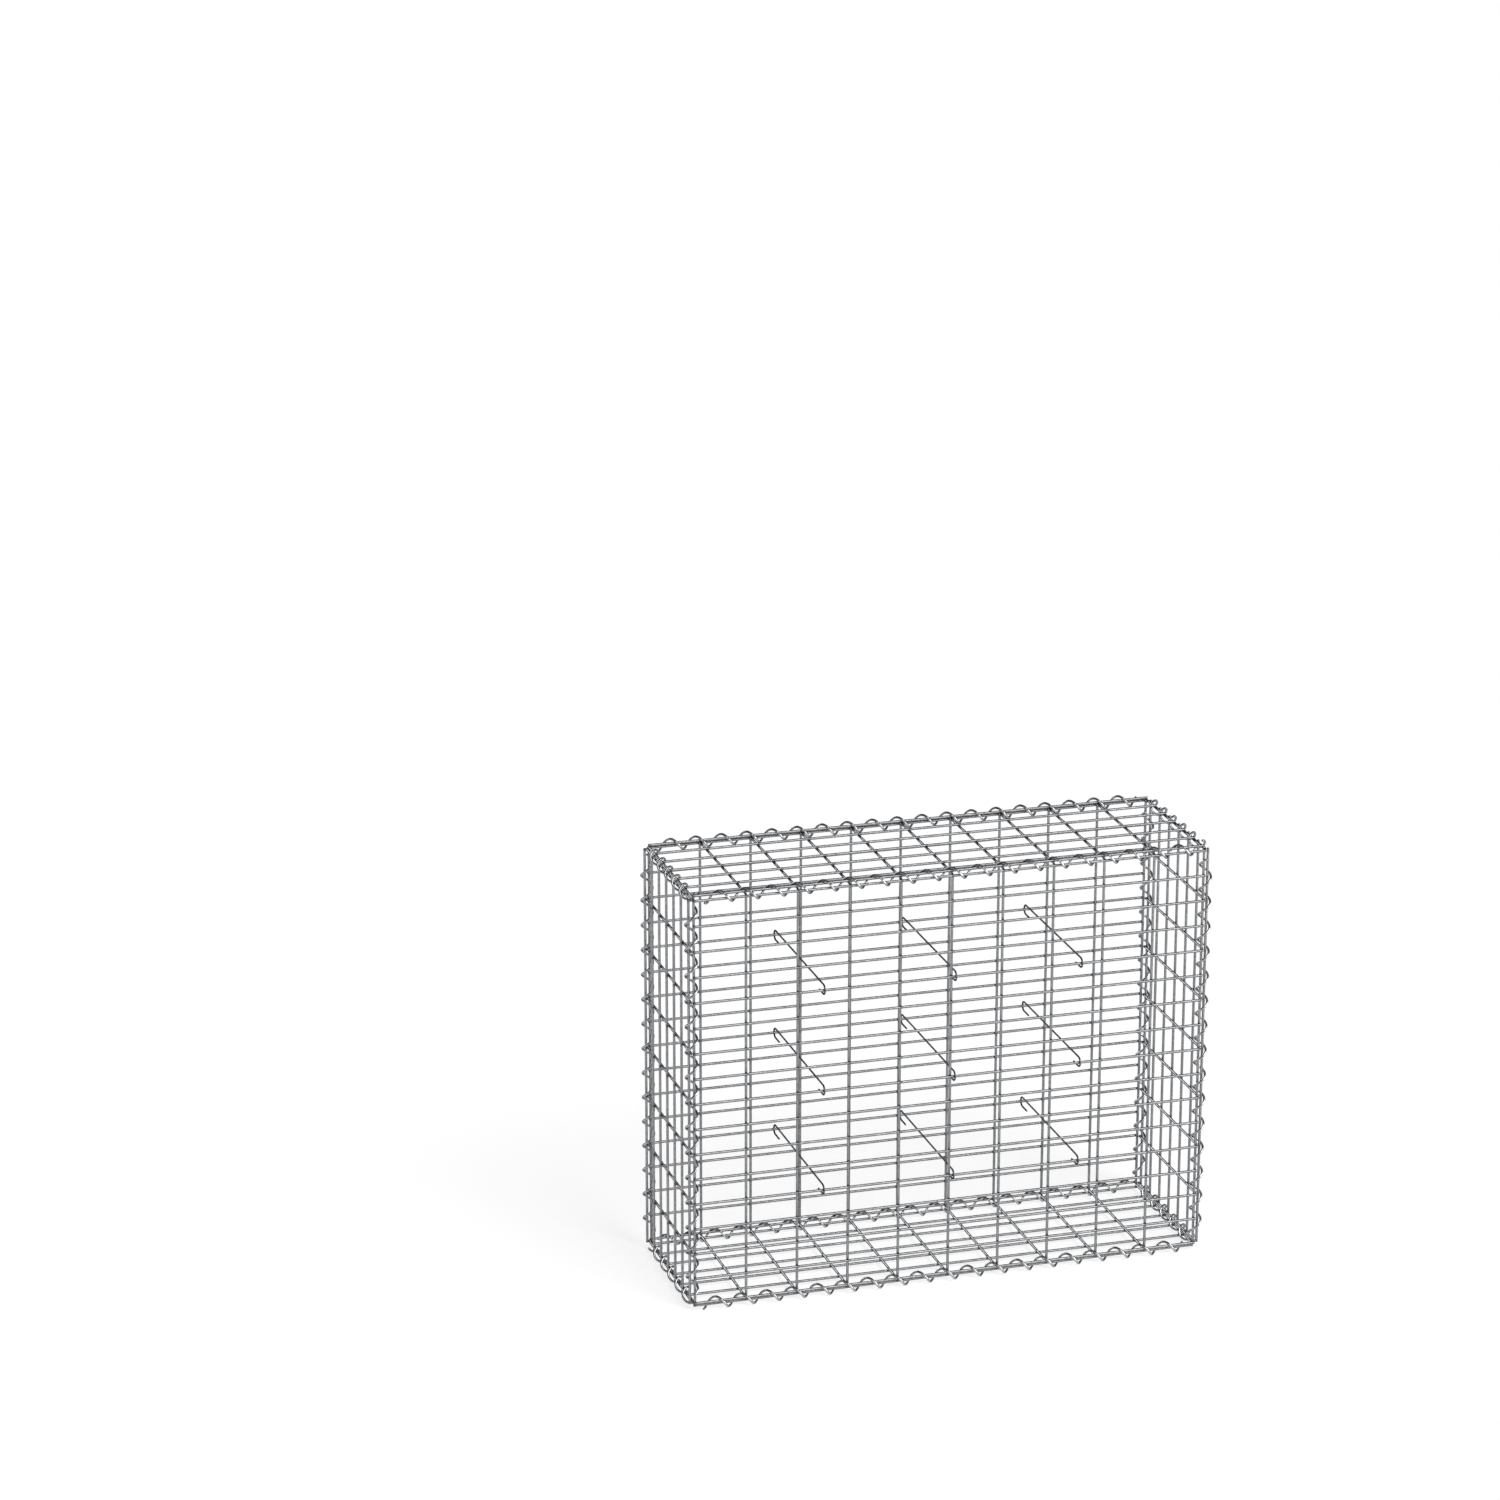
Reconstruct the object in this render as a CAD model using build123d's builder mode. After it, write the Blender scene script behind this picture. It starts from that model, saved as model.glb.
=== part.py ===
from build123d import *
from math import cos, floor, hypot, pi, sin, sqrt
import os

# A gabion basket: six panels of welded wire mesh, laced together along their twelve
# edges by spiral binders, with hooked ties from the front panel to the back one.
# Width runs along X, depth along Y and height along Z. The front faces -Y. The origin
# is on the floor, under the middle of the basket.

os.makedirs("parts", exist_ok=True)

# The grid, between the middles of the edge wires
basket_width = 1000.0
basket_depth = 300.0
basket_height = 800.0

# Cells of the mesh: their long side, and how many of them stand in a square of it
cell_length = 100.0
cell_rows = 2

# Diameters of the round wires
mesh_wire = 5.0
binder_wire = 4.5
tie_wire = 3.4

# Where neighbouring panels meet
panel_play = 0.7
end_play = 0.3
wire_clearance = 0.1

# Spiral binders, which make one turn for each row of the mesh
lacing_play = 0.4
corner_room = 13.0
turn_sides = 6
strand_sides = 3

# The share of a turn at which each binder first lies across its pair of wires
top_front_wrap = 0.875
top_back_wrap = 0.015
base_front_wrap = 0.485
base_back_wrap = 0.99
top_left_wrap = 0.29
top_right_wrap = 0.144
base_left_wrap = 0.31
base_right_wrap = 0.856
front_left_wrap = 0.05
front_right_wrap = 0.014
back_left_wrap = 0.054
back_right_wrap = 0.946

# Hooked ties
hook_radius = 9.3
hook_tail = 26.0
hook_play = 0.5
tie_offset = 7.0
hook_bends = 3
tie_sides = 4

# Square bars with the cross section of the round mesh wire
bar = mesh_wire * sqrt(pi) / 2

# Distances of the two layers of wires outside the grid. The end panels stand a bar
# further out, so that their edge wires pass beside those of the lid and the base.
face_inner = mesh_wire / 2 + panel_play
face_outer = face_inner + bar
end_inner = bar + end_play
end_outer = end_inner + bar

# Wires of the inner layers stop short of the panel that they run up to
inner_reach = face_inner - bar / 2 - wire_clearance
outer_reach = bar / 2

# Few-sided stand-ins for round wire: a strand with the same girth, and a turn of the
# coil with the same area as the round one
strand_radius = binder_wire * pi / (2 * strand_sides * sin(pi / strand_sides))
pair_half = max(hypot(face_outer, face_outer), hypot(end_outer, face_inner)) / 2
round_coil = pair_half + mesh_wire / 2 + binder_wire / 2 + lacing_play
coil_radius = round_coil * sqrt(2 * pi / (turn_sides * sin(2 * pi / turn_sides)))
tie_radius = tie_wire * pi / (2 * tie_sides * sin(pi / tie_sides))

half_width = basket_width / 2
half_depth = basket_depth / 2
mid_height = basket_height / 2
columns_across = round(basket_width / cell_length)
column = basket_width / columns_across
rows_up = cell_rows * round(basket_height / cell_length)
row = basket_height / rows_up

pieces = {}


def weld_panel(name, face, run, span, inner, reach):
    """A flat mesh: spread wires inside, and close rows of wires along the face's x outside."""
    across = round(run / cell_length)
    along = cell_rows * round(span / cell_length)
    with BuildPart() as panel:
        with BuildSketch(face.offset(inner - bar / 2)):
            with GridLocations(run / across, span, across + 1, 1):
                Rectangle(bar, span + 2 * reach)
        extrude(amount=bar)
        with BuildSketch(face.offset(inner + bar / 2)):
            with GridLocations(run, span / along, 1, along + 1):
                Rectangle(run + 2 * outer_reach, bar)
        extrude(amount=bar)
    pieces[name] = panel


def wind_binder(name, edge, length, wrap):
    """A right-handed spiral round the edge's axis, from corner to corner.

    The edge's plane has its z along the pair of wires and its x across the pair."""
    pitch = length / (cell_rows * round(length / cell_length))
    step = pitch / turn_sides
    first = corner_room + (wrap * pitch - corner_room) % step
    count = floor((length - corner_room - first) / step)
    start = round((first - wrap * pitch) / step)
    corners = []
    for index in range(count + 1):
        angle = 2 * pi * (start + index) / turn_sides
        corners.append((coil_radius * cos(angle), coil_radius * sin(angle), first + index * step))
    with BuildPart() as binder:
        with BuildLine(edge) as path:
            Polyline(*corners)
        with BuildSketch(Plane(origin=path.line @ 0, z_dir=path.line % 0)):
            RegularPolygon(strand_radius, strand_sides)
        sweep(transition=Transition.RIGHT)
    pieces[name] = binder


def bend_tie(name, place, level):
    """A rod above a level wire of the front and back panels, hooked down and round both."""
    bulge = hook_radius * cos(pi / (2 * hook_bends))
    reach = half_depth + face_outer + mesh_wire / 2 + tie_radius + hook_play - bulge
    middle = level + hook_play
    back_hook = []
    for index in range(hook_bends + 1):
        angle = pi * index / hook_bends
        back_hook.append((place, reach + hook_radius * sin(angle), middle + hook_radius * cos(angle)))
    back_hook.append((place, reach - hook_tail, middle - hook_radius))
    front_hook = []
    for x, y, z in reversed(back_hook):
        front_hook.append((x, -y, z))
    with BuildPart() as tie:
        with BuildLine() as path:
            Polyline(*front_hook, *back_hook)
        with BuildSketch(Plane(origin=path.line @ 0, z_dir=path.line % 0)):
            RegularPolygon(tie_radius, tie_sides)
        sweep(transition=Transition.RIGHT)
    pieces[name] = tie


# Panels. The close-pitch wires run along X on the faces, and along Z on the ends.
front_face = Plane(origin=(0, -half_depth, mid_height), x_dir=(1, 0, 0), z_dir=(0, -1, 0))
back_face = Plane(origin=(0, half_depth, mid_height), x_dir=(1, 0, 0), z_dir=(0, 1, 0))
lid_face = Plane(origin=(0, 0, basket_height), x_dir=(1, 0, 0), z_dir=(0, 0, 1))
base_face = Plane(origin=(0, 0, 0), x_dir=(1, 0, 0), z_dir=(0, 0, -1))
left_face = Plane(origin=(-half_width, 0, mid_height), x_dir=(0, 0, 1), z_dir=(-1, 0, 0))
right_face = Plane(origin=(half_width, 0, mid_height), x_dir=(0, 0, 1), z_dir=(1, 0, 0))
weld_panel("front_panel", front_face, basket_width, basket_height, face_inner, outer_reach)
weld_panel("back_panel", back_face, basket_width, basket_height, face_inner, outer_reach)
weld_panel("lid_panel", lid_face, basket_width, basket_depth, face_inner, inner_reach)
weld_panel("base_panel", base_face, basket_width, basket_depth, face_inner, inner_reach)
weld_panel("left_panel", left_face, basket_height, basket_depth, end_inner, outer_reach)
weld_panel("right_panel", right_face, basket_height, basket_depth, end_inner, outer_reach)

# Binders along the long edges: an outer wire of a face and one of the lid or the base
for side, level, back, top, wrap in (
    ("front", "top", -1, 1, top_front_wrap),
    ("back", "top", 1, 1, top_back_wrap),
    ("front", "base", -1, -1, base_front_wrap),
    ("back", "base", 1, -1, base_back_wrap),
):
    y = back * (half_depth + face_outer / 2)
    z = mid_height + top * (mid_height + face_outer / 2)
    edge = Plane(origin=(-half_width, y, z), x_dir=(0, -back, top), z_dir=(1, 0, 0))
    wind_binder(f"binder_{level}_{side}", edge, basket_width, wrap)

# Binders along the depth edges: an inner wire of an end and one of the lid or the base
for side, level, right, top, wrap in (
    ("left", "top", -1, 1, top_left_wrap),
    ("right", "top", 1, 1, top_right_wrap),
    ("left", "base", -1, -1, base_left_wrap),
    ("right", "base", 1, -1, base_right_wrap),
):
    x = right * (half_width + end_inner / 2)
    z = mid_height + top * (mid_height + face_inner / 2)
    across = (-right * end_inner, 0, top * face_inner)
    edge = Plane(origin=(x, -half_depth, z), x_dir=across, z_dir=(0, 1, 0))
    wind_binder(f"binder_{level}_{side}", edge, basket_depth, wrap)

# Binders up the corners: an inner wire of a face and an outer wire of an end
for side, end, right, back, wrap in (
    ("front", "left", -1, -1, front_left_wrap),
    ("front", "right", 1, -1, front_right_wrap),
    ("back", "left", -1, 1, back_left_wrap),
    ("back", "right", 1, 1, back_right_wrap),
):
    x = right * (half_width + end_outer / 2)
    y = back * (half_depth + face_inner / 2)
    across = (right * end_outer, -back * face_inner, 0)
    edge = Plane(origin=(x, y, 0), x_dir=across, z_dir=(0, 0, 1))
    wind_binder(f"binder_{side}_{end}", edge, basket_height, wrap)

# Ties, three high and three wide. The outer columns start from the middle of a cell,
# and the middle one stands beside the wire nearest to the centre of the face.
outer_place = half_width - (columns_across // 4 + 0.5) * column
middle_wire = columns_across // 2 * column - half_width
places = {"left": -outer_place, "middle": middle_wire + tie_offset, "right": outer_place + tie_offset}
for side, place in places.items():
    for quarter, height in enumerate(("low", "mid", "high"), start=1):
        level = round(quarter * rows_up / 4) * row
        bend_tie(f"tie_{side}_{height}", place, level)

# The basket stands on the lowest turns of its binders
lift = -min(piece.part.bounding_box().min.Z for piece in pieces.values())
for name, piece in pieces.items():
    standing = piece.part.moved(Location((0, 0, lift)))
    standing.label = name
    export_step(standing, f"parts/{name}.step")
print(f"grid stands {lift:.2f} mm above the floor, coil radius {coil_radius:.2f} mm")
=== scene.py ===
from math import floor, hypot, pi, radians, sqrt, tau

import bpy
import numpy as np
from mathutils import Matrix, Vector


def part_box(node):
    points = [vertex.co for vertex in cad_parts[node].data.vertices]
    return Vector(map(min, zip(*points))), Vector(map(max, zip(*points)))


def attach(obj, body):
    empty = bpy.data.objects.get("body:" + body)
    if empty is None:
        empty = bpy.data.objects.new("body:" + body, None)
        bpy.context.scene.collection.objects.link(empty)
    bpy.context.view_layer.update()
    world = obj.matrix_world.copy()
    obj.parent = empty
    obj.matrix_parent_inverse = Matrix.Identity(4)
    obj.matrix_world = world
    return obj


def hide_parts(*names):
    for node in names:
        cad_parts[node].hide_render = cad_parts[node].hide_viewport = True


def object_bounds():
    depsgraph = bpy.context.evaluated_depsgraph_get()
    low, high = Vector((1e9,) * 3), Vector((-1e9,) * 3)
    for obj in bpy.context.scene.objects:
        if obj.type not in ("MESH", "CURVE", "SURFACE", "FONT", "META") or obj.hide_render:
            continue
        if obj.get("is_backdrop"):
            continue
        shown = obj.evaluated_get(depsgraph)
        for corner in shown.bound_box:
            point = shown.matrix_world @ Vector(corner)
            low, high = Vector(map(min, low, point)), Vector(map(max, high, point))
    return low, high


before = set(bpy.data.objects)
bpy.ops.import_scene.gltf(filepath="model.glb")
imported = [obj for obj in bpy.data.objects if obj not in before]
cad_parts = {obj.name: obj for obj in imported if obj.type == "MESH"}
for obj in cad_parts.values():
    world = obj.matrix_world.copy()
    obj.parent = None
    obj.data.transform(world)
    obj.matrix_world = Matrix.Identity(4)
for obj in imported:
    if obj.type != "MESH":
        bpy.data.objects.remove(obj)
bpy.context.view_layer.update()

# An empty gabion basket of galvanised welded mesh, laced with spiral binders and held
# together by hooked ties. Every wire of the frame is replaced by a smooth round one.
# Lengths are metres, and the frame's own places are kept.

# Round wires
MESH_WIRE = 0.005
BINDER_WIRE = 0.0045
TIE_WIRE = 0.0034
END_CHAMFER = 0.0004

# Grid of the mesh, between the middles of the edge wires, and the square bars of the frame
BASKET = np.array([1.0, 0.3, 0.8])
WIDE_PITCH = 0.100
CLOSE_PITCH = 0.050
SQUARE_BAR = MESH_WIRE * sqrt(pi) / 2
PANEL_PLAY = 0.0007
END_PLAY = 0.0003

# How far the wide-pitch wires run past the middles of the edge wires
PANEL_REACH = SQUARE_BAR / 2
LID_REACH = 0.0004

# Spiral binders, with how far along its edge each first lies straight across its pair of wires
BINDER_PITCH = 0.050
LACING_PLAY = 0.0004
CORNER_ROOM = 0.013
CAD_TURN_SIDES = 6
WRAPS = {
    "top_front": 0.04375,
    "top_back": 0.00075,
    "base_front": 0.02425,
    "base_back": 0.0495,
    "top_left": 0.0145,
    "top_right": 0.0072,
    "base_left": 0.0155,
    "base_right": 0.0428,
    "front_left": 0.0025,
    "front_right": 0.0007,
    "back_left": 0.0027,
    "back_right": 0.0473,
}

# Hooked ties
HOOK_RADIUS = 0.0093
HOOK_TAIL = 0.026
HOOK_PLAY = 0.0005
TIE_COLUMNS = {"left": -0.25, "middle": 0.007, "right": 0.257}
TIE_ROWS = {"low": 0.2, "mid": 0.4, "high": 0.6}

# Fineness of the meshes
WIRE_SIDES = 16
BINDER_SIDES = 14
TIE_SIDES = 14
TURN_STEPS = 40
HOOK_STEPS = 16
TAIL_STEPS = 4
ROD_STEPS = 24
WIRE_STEP = 0.0125

# Texture of the zinc. The first four are features in a metre, and the die's lines have them
# along the wire and around it. Each wire's texture is shifted by a random length.
CRYSTALS = 260.0
CLOUDS = 28.0
FLAKES = 700.0
DIE_LINES = (40.0, 2600.0, 1.0)
DIE_DEPTH = 0.0001
RIM_TINT = (0.10, 0.105, 0.115, 1)
TEXTURE_SHIFT = 5

# Dull spots where the wires are welded, by the distance from the crossing
WELD_CORE = 0.0015
WELD_EDGE = 0.0045
WELD_SHADE = 0.45
WELD_DULLNESS = 0.35
WELD_DEPTH = 0.0003

# Floor and light
FLOOR_RADIUS = 40
FLOOR_COLOUR = (0.8, 0.8, 0.8, 1)
FLOOR_GLOW = 0.74
SUN_WIDTH = 25

# Camera of the photograph, from the grid's lower middle
CAMERA_SPOT = (-2.8170, -8.2971, 3.7983)
CAMERA_TURN = -16.580
CAMERA_DIP = 17.745
LENS = 117.89
SENSOR = 36.0

X, Y, Z = range(3)
random = np.random.default_rng(7)

# What the soft boxes light, so that the floor stays even under the sun and the sky
lit = bpy.data.collections.new("basket")

# Height of the grid above the floor, how far the layers of wires lie outside the grid,
# and the radius of a coil that clears both wires of its pair
lift = (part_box("front_panel")[0].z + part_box("front_panel")[1].z - BASKET[Z]) / 2
face_inner = MESH_WIRE / 2 + PANEL_PLAY
face_outer = face_inner + SQUARE_BAR
end_inner = SQUARE_BAR + END_PLAY
end_outer = end_inner + SQUARE_BAR
pair_half = max(hypot(face_outer, face_outer), hypot(end_outer, face_inner)) / 2
coil_radius = pair_half + MESH_WIRE / 2 + BINDER_WIRE / 2 + LACING_PLAY


class Tubes:
    """Collects closed round tubes and makes one mesh of them."""

    def __init__(self):
        self.points = []
        self.faces = []
        self.along = []
        self.weld = []
        self.count = 0

    def add(self, centres, first, second, radius, sides, weld=None):
        """A tube on these centres, whose rings lie in the plane of first and second."""
        centres = np.asarray(centres, float)
        runs = np.linalg.norm(np.diff(centres, axis=0), axis=1)
        lead = centres[0] + (centres[1] - centres[0]) * END_CHAMFER / runs[0]
        tail = centres[-1] - (centres[-1] - centres[-2]) * END_CHAMFER / runs[-1]
        centres = np.vstack([centres[:1], lead, centres[1:-1], tail, centres[-1:]])
        first = np.vstack([first[:1], first, first[-1:]])
        second = np.vstack([second[:1], second, second[-1:]])
        radii = np.full(len(centres), radius)
        radii[[0, -1]] = radius - END_CHAMFER
        turn = np.arange(sides) * tau / sides
        spokes = (np.cos(turn)[None, :, None] * first[:, None]
                  + np.sin(turn)[None, :, None] * second[:, None])
        rings = centres[:, None] + radii[:, None, None] * spokes
        length = np.concatenate([[0], np.cumsum(np.linalg.norm(np.diff(centres, axis=0), axis=1))])
        if weld is None:
            weld = np.ones(len(centres))
        else:
            weld = np.concatenate([weld[:1], weld, weld[-1:]])
        rows = np.arange(len(centres) - 1)[:, None]
        cols = np.arange(sides)[None, :]
        onward = (cols + 1) % sides
        quads = np.stack([rows * sides + cols, rows * sides + onward,
                          (rows + 1) * sides + onward, (rows + 1) * sides + cols], axis=-1)
        side = np.broadcast_to(cols, quads.shape[:2])
        row = np.broadcast_to(rows, quads.shape[:2])
        around = tau * radius / sides
        start = random.uniform(0, TEXTURE_SHIFT)
        u = start + np.stack([length[row], length[row], length[row + 1], length[row + 1]], axis=-1)
        v = around * np.stack([side, side + 1, side + 1, side], axis=-1)
        w = np.stack([weld[row], weld[row], weld[row + 1], weld[row + 1]], axis=-1)
        self.points.append(rings.reshape(-1, 3))
        self.faces.extend((quads.reshape(-1, 4) + self.count).tolist())
        self.along.append(np.stack([u.ravel(), v.ravel()], axis=-1))
        self.weld.append(np.stack([w.ravel(), w.ravel()], axis=-1))
        last = self.count + (len(centres) - 1) * sides
        self.faces.append(list(range(self.count + sides - 1, self.count - 1, -1)))
        self.faces.append(list(range(last, last + sides)))
        for end in (0, -1):
            self.along.append(np.full((sides, 2), start))
            self.weld.append(np.full((sides, 2), weld[end]))
        self.count += rings.shape[0] * sides

    def make(self, name):
        """The collected tubes as one object."""
        mesh = bpy.data.meshes.new(name)
        mesh.from_pydata(np.vstack(self.points).tolist(), [], self.faces)
        for layer, values in (("Wire", self.along), ("Weld", self.weld)):
            flat = np.vstack(values).astype(np.float32).ravel()
            mesh.uv_layers.new(name=layer).data.foreach_set("uv", flat)
        mesh.validate()
        mesh.shade_smooth()
        piece = bpy.data.objects.new(name, mesh)
        bpy.context.scene.collection.objects.link(piece)
        return piece


def finish_piece(piece, node, material):
    """Gives a piece its metal and its light, and puts it in the place of its node."""
    piece.data.materials.append(material)
    lit.objects.link(piece)
    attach(piece, "root")
    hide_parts(node)


def straight(start, end, crossings):
    """Points along a straight wire and how far each lies from the nearest crossing."""
    start, end = np.asarray(start, float), np.asarray(end, float)
    way = end - start
    size = np.linalg.norm(way)
    inner = np.arange(crossings[0], crossings[-1] + WIRE_STEP / 2, WIRE_STEP)
    marks = np.unique(np.round(np.concatenate([[0], inner, [size]]), 7))
    near = np.abs(marks[:, None] - np.asarray(crossings)[None]).min(axis=1)
    return start + way / size * marks[:, None], near


def lay_wires(tubes, places, along, across, normal, level, start_at, end_at, crossings):
    """A layer of straight wires along one axis, one at each place across."""
    axes = np.eye(3)
    for place in places:
        start, end = np.zeros(3), np.zeros(3)
        start[[normal, across]] = end[[normal, across]] = level, place
        start[along], end[along] = start_at, end_at
        points, near = straight(start, end, crossings - start_at)
        count = (len(points), 1)
        first = np.tile(axes[normal], count)
        second = np.tile(np.cross(axes[along], axes[normal]), count)
        tubes.add(points, first, second, MESH_WIRE / 2, WIRE_SIDES, near)


def weld_panel(node, normal, run, span, outward, reach, material):
    """A welded mesh: wide-pitch wires in the inner layer, close-pitch ones in the outer.

    Its close-pitch wires lie along the run axis, and the wide-pitch ones along span."""
    low, high = (np.array(c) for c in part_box(node))
    layer = (high[normal] - low[normal]) / 4
    middle = (high[normal] + low[normal]) / 2
    inner, outer = middle - outward * layer, middle + outward * layer
    edge = SQUARE_BAR / 2
    run_low, run_high = low[run] + edge, high[run] - edge
    span_low, span_high = low[span] + edge, high[span] - edge
    wide = np.linspace(run_low, run_high, round((run_high - run_low) / WIDE_PITCH) + 1)
    close = np.linspace(span_low, span_high, round((span_high - span_low) / CLOSE_PITCH) + 1)
    tubes = Tubes()
    lay_wires(tubes, wide, span, run, normal, inner, span_low - reach, span_high + reach, close)
    lay_wires(tubes, close, run, span, normal, outer, run_low - edge, run_high + edge, wide)
    finish_piece(tubes.make(f"{node}_wires"), node, material)


def wind_binder(edge_name, origin, along, across, length, material):
    """A right-handed round spiral about the edge, on the frame's own turns."""
    along, across = np.array(along, float), np.array(across, float)
    across /= np.linalg.norm(across)
    third = np.cross(along, across)
    wrap = WRAPS[edge_name]
    step = BINDER_PITCH / CAD_TURN_SIDES
    first_mark = CORNER_ROOM + (wrap - CORNER_ROOM) % step
    count = floor((length - CORNER_ROOM - first_mark) / step)
    steps = round(count * TURN_STEPS / CAD_TURN_SIDES)
    marks = first_mark + np.linspace(0, count * step, steps + 1)
    angle = tau * (marks - wrap) / BINDER_PITCH
    radial = np.cos(angle)[:, None] * across + np.sin(angle)[:, None] * third
    tangential = -np.sin(angle)[:, None] * across + np.cos(angle)[:, None] * third
    slope = tau * coil_radius / BINDER_PITCH
    heading = slope * tangential + along
    heading /= np.linalg.norm(heading, axis=1)[:, None]
    centres = np.array(origin) + marks[:, None] * along + coil_radius * radial
    tubes = Tubes()
    tubes.add(centres, radial, np.cross(heading, radial), BINDER_WIRE / 2, BINDER_SIDES)
    node = f"binder_{edge_name}"
    finish_piece(tubes.make(f"{node}_spiral"), node, material)


def bend_tie(column, row, material):
    """A level rod whose ends hook down and round an outer wire of the front and the back."""
    x, level = TIE_COLUMNS[column], TIE_ROWS[row] + lift
    reach = BASKET[Y] / 2 + face_outer + MESH_WIRE / 2 + TIE_WIRE / 2 + HOOK_PLAY - HOOK_RADIUS
    middle = level + HOOK_PLAY
    bends = np.linspace(0, pi, HOOK_STEPS + 1)
    hook_y = reach + HOOK_RADIUS * np.sin(bends)
    hook_z = middle + HOOK_RADIUS * np.cos(bends)
    tail_y = reach - np.linspace(0, HOOK_TAIL, TAIL_STEPS + 1)[1:]
    half_y = np.concatenate([hook_y, tail_y])
    half_z = np.concatenate([hook_z, np.full(TAIL_STEPS, middle - HOOK_RADIUS)])
    rod_y = np.linspace(-reach, reach, ROD_STEPS + 1)[1:-1]
    y = np.concatenate([-half_y[::-1], rod_y, half_y])
    z = np.concatenate([half_z[::-1], np.full(len(rod_y), middle + HOOK_RADIUS), half_z])
    centres = np.stack([np.full(len(y), x), y, z], axis=-1)
    heading = np.gradient(centres, axis=0)
    heading /= np.linalg.norm(heading, axis=1)[:, None]
    side = np.tile([1.0, 0.0, 0.0], (len(y), 1))
    tubes = Tubes()
    tubes.add(centres, side, np.cross(heading, side), TIE_WIRE / 2, TIE_SIDES)
    node = f"tie_{column}_{row}"
    finish_piece(tubes.make(f"{node}_rod"), node, material)


class Nodes:
    """Short calls for making a node tree."""

    def __init__(self, tree):
        self.tree = tree
        tree.nodes.clear()

    def add(self, kind, inputs=None, **settings):
        node = self.tree.nodes.new(kind)
        for name, value in settings.items():
            setattr(node, name, value)
        for name, value in (inputs or {}).items():
            if isinstance(value, bpy.types.NodeSocket):
                self.tree.links.new(value, node.inputs[name])
            else:
                node.inputs[name].default_value = value
        return node


def galvanised(name, dark, light, rough_low, rough_high):
    """Zinc-coated drawn wire: crystals of zinc, lines of the die and dull welds."""
    material = bpy.data.materials.new(name)
    material.use_nodes = True
    n = Nodes(material.node_tree)
    place = n.add("ShaderNodeTexCoord")
    wire = n.add("ShaderNodeUVMap", uv_map="Wire")
    crystals = n.add("ShaderNodeTexVoronoi", {"Vector": place.outputs["Object"], "Scale": CRYSTALS})
    cloud = n.add("ShaderNodeTexNoise", {"Vector": place.outputs["Object"], "Scale": CLOUDS, "Detail": 3.0})
    stretch = n.add("ShaderNodeMapping", {"Vector": wire.outputs["UV"], "Scale": DIE_LINES})
    lines = n.add("ShaderNodeTexNoise", {"Vector": stretch.outputs["Vector"], "Scale": 1.0, "Detail": 2.0})
    tone = n.add("ShaderNodeMath", {0: crystals.outputs["Color"], 1: cloud.outputs["Fac"]},
                 operation="MULTIPLY")
    ramp = n.add("ShaderNodeValToRGB", {"Fac": tone.outputs["Value"]})
    ramp.color_ramp.elements[0].position = 0.05
    ramp.color_ramp.elements[0].color = (*dark, 1)
    ramp.color_ramp.elements[1].position = 0.55
    ramp.color_ramp.elements[1].color = (*light, 1)
    rough = n.add("ShaderNodeMapRange", {"Value": cloud.outputs["Fac"], "From Min": 0.3,
                                         "From Max": 0.7, "To Min": rough_low, "To Max": rough_high})
    distance = n.add("ShaderNodeSeparateXYZ", {
        "Vector": n.add("ShaderNodeUVMap", uv_map="Weld").outputs["UV"]})
    weld = n.add("ShaderNodeMapRange", {"Value": distance.outputs["X"], "From Min": WELD_CORE,
                                        "From Max": WELD_EDGE, "To Min": 1.0, "To Max": 0.0})
    flakes = n.add("ShaderNodeTexNoise", {"Vector": place.outputs["Object"], "Scale": FLAKES, "Detail": 2.0})
    burnt = n.add("ShaderNodeMath", {0: weld.outputs["Result"], 1: flakes.outputs["Fac"]},
                  operation="MULTIPLY")
    colour = n.add("ShaderNodeMixRGB", {"Fac": burnt.outputs["Value"], "Color1": ramp.outputs["Color"],
                                        "Color2": (*(WELD_SHADE * tint for tint in dark), 1)})
    dull = n.add("ShaderNodeMath", {0: burnt.outputs["Value"], 1: WELD_DULLNESS, 2: rough.outputs["Result"]},
                 operation="MULTIPLY_ADD")
    bump = n.add("ShaderNodeBump", {"Height": lines.outputs["Fac"], "Strength": 0.25,
                                    "Distance": DIE_DEPTH})
    pitted = n.add("ShaderNodeBump", {"Height": burnt.outputs["Value"], "Strength": 0.5,
                                      "Distance": WELD_DEPTH, "Normal": bump.outputs["Normal"]})
    metal = n.add("ShaderNodeBsdfPrincipled", {
        "Base Color": colour.outputs["Color"],
        "Metallic": 1.0,
        "Specular Tint": RIM_TINT,
        "Roughness": dull.outputs["Value"],
        "Normal": pitted.outputs["Normal"],
    })
    n.add("ShaderNodeOutputMaterial", {"Surface": metal.outputs["BSDF"]})
    return material


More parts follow.
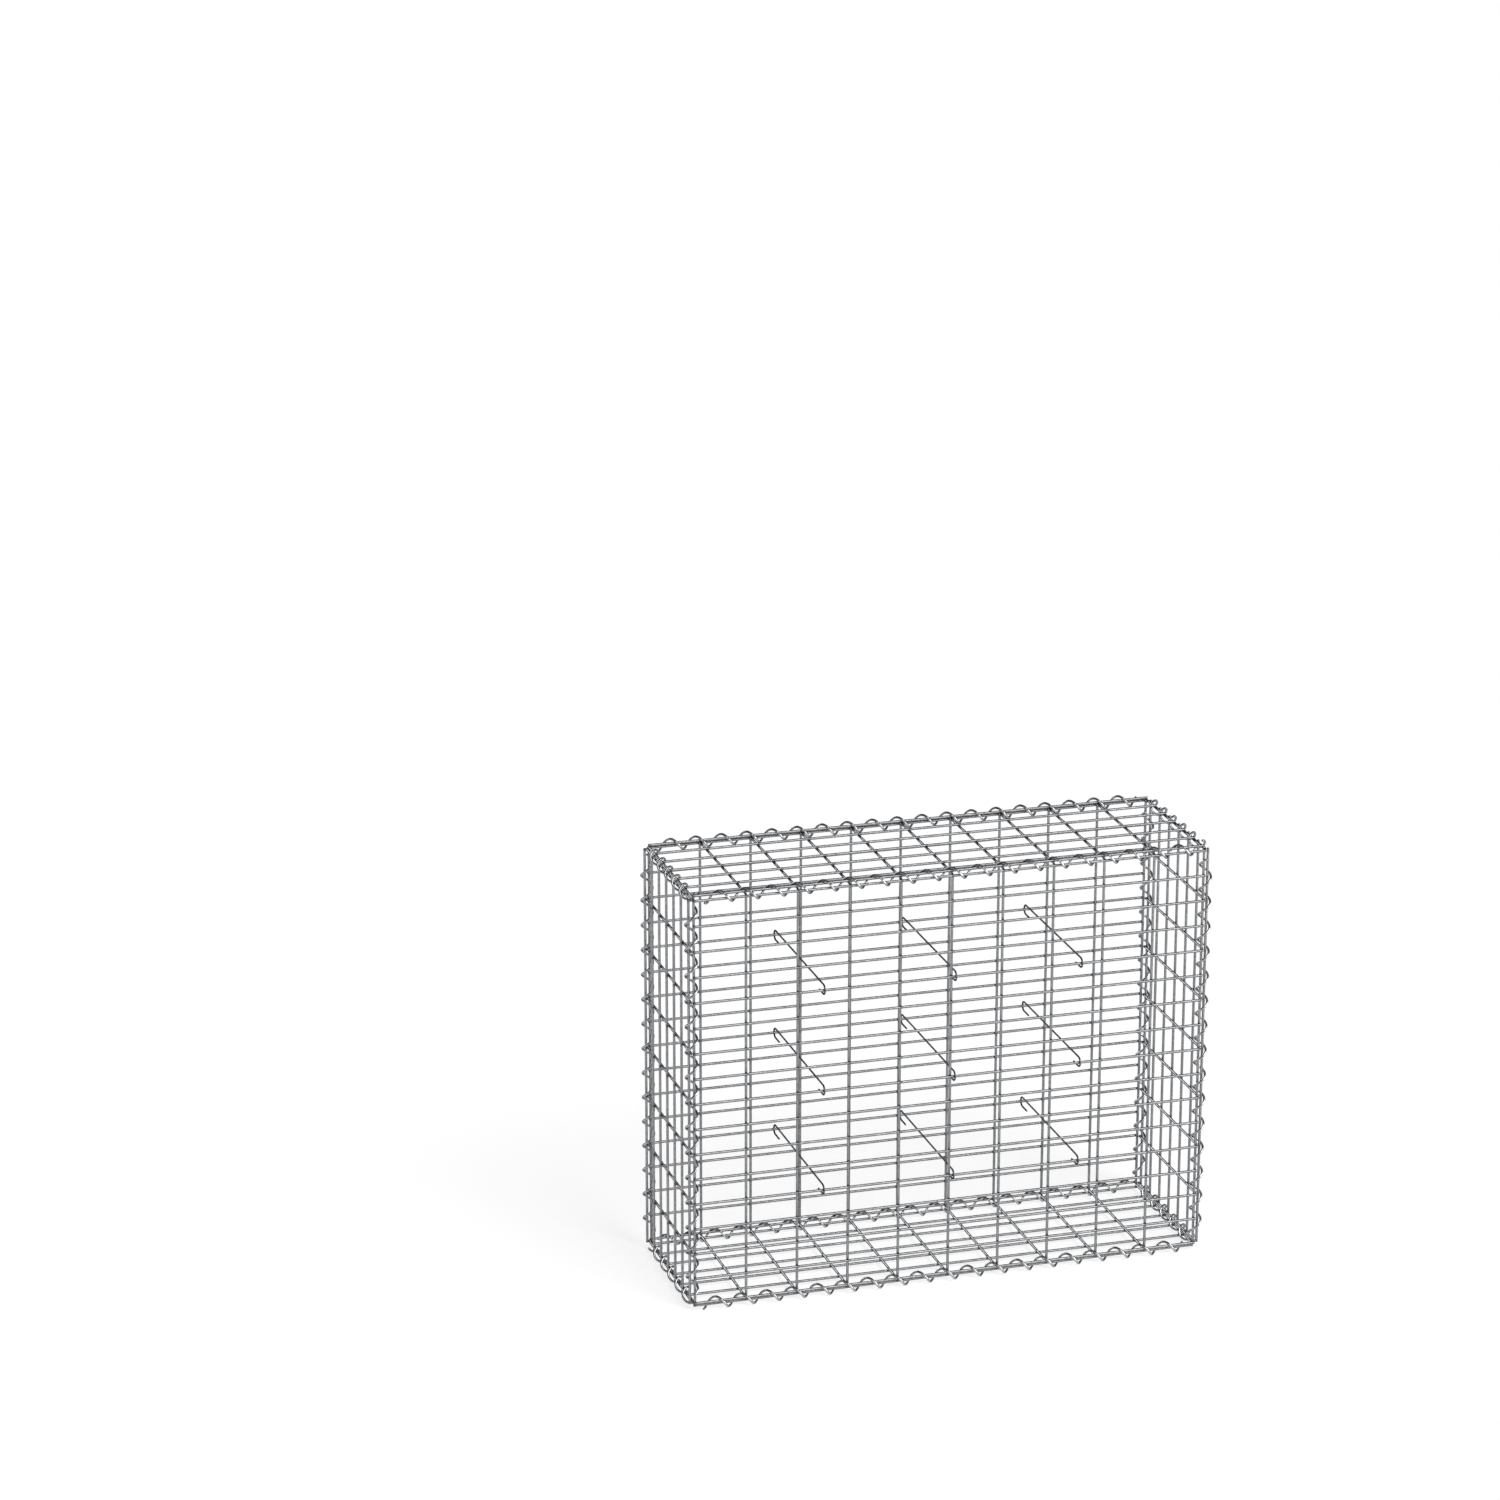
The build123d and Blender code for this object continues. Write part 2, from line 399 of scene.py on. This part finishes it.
def white_floor(level):
    """A pale floor that reads as white to the camera and in the metal, under a real shadow."""
    material = bpy.data.materials.new("floor")
    material.use_nodes = True
    n = Nodes(material.node_tree)
    path = n.add("ShaderNodeLightPath")
    seen = n.add("ShaderNodeMath", {0: path.outputs["Is Camera Ray"], 1: path.outputs["Is Glossy Ray"]},
                 operation="MAXIMUM")
    seen = n.add("ShaderNodeMath", {0: seen.outputs["Value"], 1: path.outputs["Is Transmission Ray"]},
                 operation="MAXIMUM")
    glow = n.add("ShaderNodeMath", {0: seen.outputs["Value"], 1: FLOOR_GLOW}, operation="MULTIPLY")
    matt = n.add("ShaderNodeBsdfDiffuse", {"Color": FLOOR_COLOUR})
    light = n.add("ShaderNodeEmission", {"Color": (1, 1, 1, 1), "Strength": glow.outputs["Value"]})
    both = n.add("ShaderNodeAddShader", {0: matt.outputs["BSDF"], 1: light.outputs["Emission"]})
    n.add("ShaderNodeOutputMaterial", {"Surface": both.outputs["Shader"]})
    bpy.ops.mesh.primitive_circle_add(vertices=96, radius=FLOOR_RADIUS, fill_type="NGON",
                                      location=(0, 0, level))
    disc = bpy.context.object
    disc.name = "floor"
    disc.data.materials.append(material)
    disc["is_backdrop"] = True


def softbox(name, spot, wide, high, glow):
    """A lamp of this brightness that faces the basket, lights only the basket and isn't seen."""
    data = bpy.data.lights.new(name, "AREA")
    data.shape = "RECTANGLE"
    data.size = wide
    data.size_y = high
    data.energy = glow * pi * wide * high
    piece = bpy.data.objects.new(name, data)
    piece.location = spot
    aim = Vector((0, 0, BASKET[Z] / 2)) - Vector(spot)
    piece.rotation_euler = aim.to_track_quat("-Z", "Y").to_euler()
    piece.visible_camera = False
    piece.light_linking.receiver_collection = lit
    bpy.context.scene.collection.objects.link(piece)


def sun(strength, turn, height):
    """An even wide light, so that the floor is as bright far off as it is close by."""
    data = bpy.data.lights.new("sun", "SUN")
    data.energy = strength
    data.angle = radians(SUN_WIDTH)
    piece = bpy.data.objects.new("sun", data)
    piece.rotation_euler = (radians(90 - height), 0, radians(turn))
    bpy.context.scene.collection.objects.link(piece)


def sky(colour, strength):
    """A plain sky all round."""
    world = bpy.data.worlds.new("studio")
    bpy.context.scene.world = world
    world.use_nodes = True
    n = Nodes(world.node_tree)
    grey = n.add("ShaderNodeBackground", {"Color": colour, "Strength": strength})
    n.add("ShaderNodeOutputWorld", {"Surface": grey.outputs["Background"]})


def photo_camera():
    """The camera at the photograph's viewing angle."""
    camera = bpy.data.cameras.new("camera")
    camera.lens = LENS
    camera.sensor_width = SENSOR
    viewer = bpy.data.objects.new("camera", camera)
    viewer.location = (CAMERA_SPOT[X], CAMERA_SPOT[Y], CAMERA_SPOT[Z] + lift)
    viewer.rotation_euler = (radians(90 - CAMERA_DIP), 0, radians(CAMERA_TURN))
    bpy.context.scene.collection.objects.link(viewer)
    bpy.context.scene.camera = viewer


mesh_metal = galvanised("mesh_zinc", dark=(0.225, 0.229, 0.236), light=(0.35, 0.355, 0.365),
                        rough_low=0.20, rough_high=0.30)
binder_metal = galvanised("binder_zinc", dark=(0.37, 0.374, 0.383), light=(0.52, 0.526, 0.538),
                          rough_low=0.16, rough_high=0.24)
tie_metal = galvanised("tie_zinc", dark=(0.075, 0.078, 0.082), light=(0.14, 0.145, 0.153),
                       rough_low=0.30, rough_high=0.40)

# Panels. The inner wires of the lid and the base stop short of the front and the back.
weld_panel("front_panel", Y, X, Z, -1, PANEL_REACH, mesh_metal)
weld_panel("back_panel", Y, X, Z, 1, PANEL_REACH, mesh_metal)
weld_panel("lid_panel", Z, X, Y, 1, LID_REACH, mesh_metal)
weld_panel("base_panel", Z, X, Y, -1, LID_REACH, mesh_metal)
weld_panel("left_panel", X, Z, Y, -1, PANEL_REACH, mesh_metal)
weld_panel("right_panel", X, Z, Y, 1, PANEL_REACH, mesh_metal)

# Binders along the long edges, the depth edges and the uprights
half = BASKET / 2
for back, side in ((-1, "front"), (1, "back")):
    for top, level in ((1, "top"), (-1, "base")):
        y = back * (half[Y] + face_outer / 2)
        z = lift + half[Z] + top * (half[Z] + face_outer / 2)
        wind_binder(f"{level}_{side}", (-half[X], y, z), (1, 0, 0), (0, -back, top), BASKET[X],
                    binder_metal)
for right, side in ((-1, "left"), (1, "right")):
    for top, level in ((1, "top"), (-1, "base")):
        x = right * (half[X] + end_inner / 2)
        z = lift + half[Z] + top * (half[Z] + face_inner / 2)
        across = (-right * end_inner, 0, top * face_inner)
        wind_binder(f"{level}_{side}", (x, -half[Y], z), (0, 1, 0), across, BASKET[Y], binder_metal)
for back, side in ((-1, "front"), (1, "back")):
    for right, end in ((-1, "left"), (1, "right")):
        x = right * (half[X] + end_outer / 2)
        y = back * (half[Y] + face_inner / 2)
        across = (right * end_outer, -back * face_inner, 0)
        wind_binder(f"{side}_{end}", (x, y, lift), (0, 0, 1), across, BASKET[Z], binder_metal)

for column in TIE_COLUMNS:
    for row in TIE_ROWS:
        bend_tie(column, row, tie_metal)

# Floor, light and camera. The lamp behind is what the wires along Y mirror to the camera.
white_floor(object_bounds()[0].z)
sky((0.79, 0.80, 0.82, 1), strength=0.18)
sun(strength=0.8, turn=20, height=50)
softbox("key", (1.5, -4.4, 2.1), wide=2.6, high=1.0, glow=4.2)
softbox("low_right", (2.5, -1.6, 1.15), wide=2.0, high=2.2, glow=6.0)
softbox("behind", (-1.4, 5.0, 2.0), wide=3.4, high=2.4, glow=4.5)
photo_camera()
bpy.context.scene.view_settings.view_transform = "Standard"
